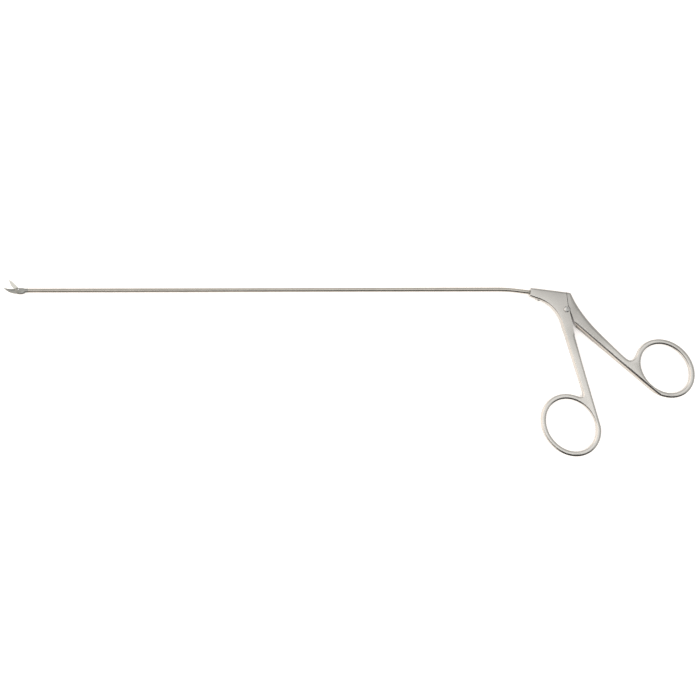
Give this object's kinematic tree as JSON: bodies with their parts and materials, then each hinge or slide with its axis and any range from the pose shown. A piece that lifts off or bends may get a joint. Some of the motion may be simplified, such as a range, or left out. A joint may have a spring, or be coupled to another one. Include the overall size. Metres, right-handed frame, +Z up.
{
  "type": "microlaryngeal scissors",
  "caption": "Long thin surgical scissors: two ring handles pull a rod through a slender bent shaft to close one small hinged blade on a fixed curved one.",
  "frame": {"origin": "middle of the bounding box on the underside, on which the instrument lies", "axes": "+X along the shaft towards the handles, +Y from the finger rings towards the shaft, +Z up out of the handles' flat side"},
  "size_m": [0.3036, 0.0782, 0.0051],
  "materials": {
    "satin_steel": "fine satin, bead blasted and brushed",
    "turned_steel": "turned, bright",
    "drawn_steel": "drawn tube and wire, satin",
    "ground_steel": "ground, fine satin"
  },
  "bodies": {
    "fixed": {"fixed_handle": "satin_steel", "pivot_screw": "turned_steel", "tube_screw": "turned_steel", "shaft_tube": "drawn_steel", "lower_blade": "ground_steel", "blade_pin": "turned_steel"},
    "moving": {"moving_handle": "satin_steel", "link_pin": "turned_steel"},
    "rod": {"pull_rod": "drawn_steel", "rod_eye": "drawn_steel", "drive_pin": "turned_steel"},
    "blade": {"upper_blade": "ground_steel"}
  },
  "joints": [
    {"name": "handle_pivot", "type": "hinge", "parent": "fixed", "child": "moving", "pos_m": [0.09537, 0.0255, 0.0023], "axis": [0, 0, -1], "range_deg": [0, 8]},
    {"name": "rod_slide", "type": "slide", "parent": "fixed", "child": "rod", "axis": [1, 0, 0], "range_m": [0, 0.000825]},
    {"name": "blade_hinge", "type": "hinge", "parent": "fixed", "child": "blade", "pos_m": [-0.14525, 0.03486, 0.0023], "axis": [0, 0, 1], "range_deg": [0, 38]}
  ],
  "couplings": [
    {"joint": "rod_slide", "follows": "handle_pivot", "m_per_rad": 0.005901},
    {"joint": "blade_hinge", "follows": "handle_pivot", "ratio": 4.75}
  ]
}
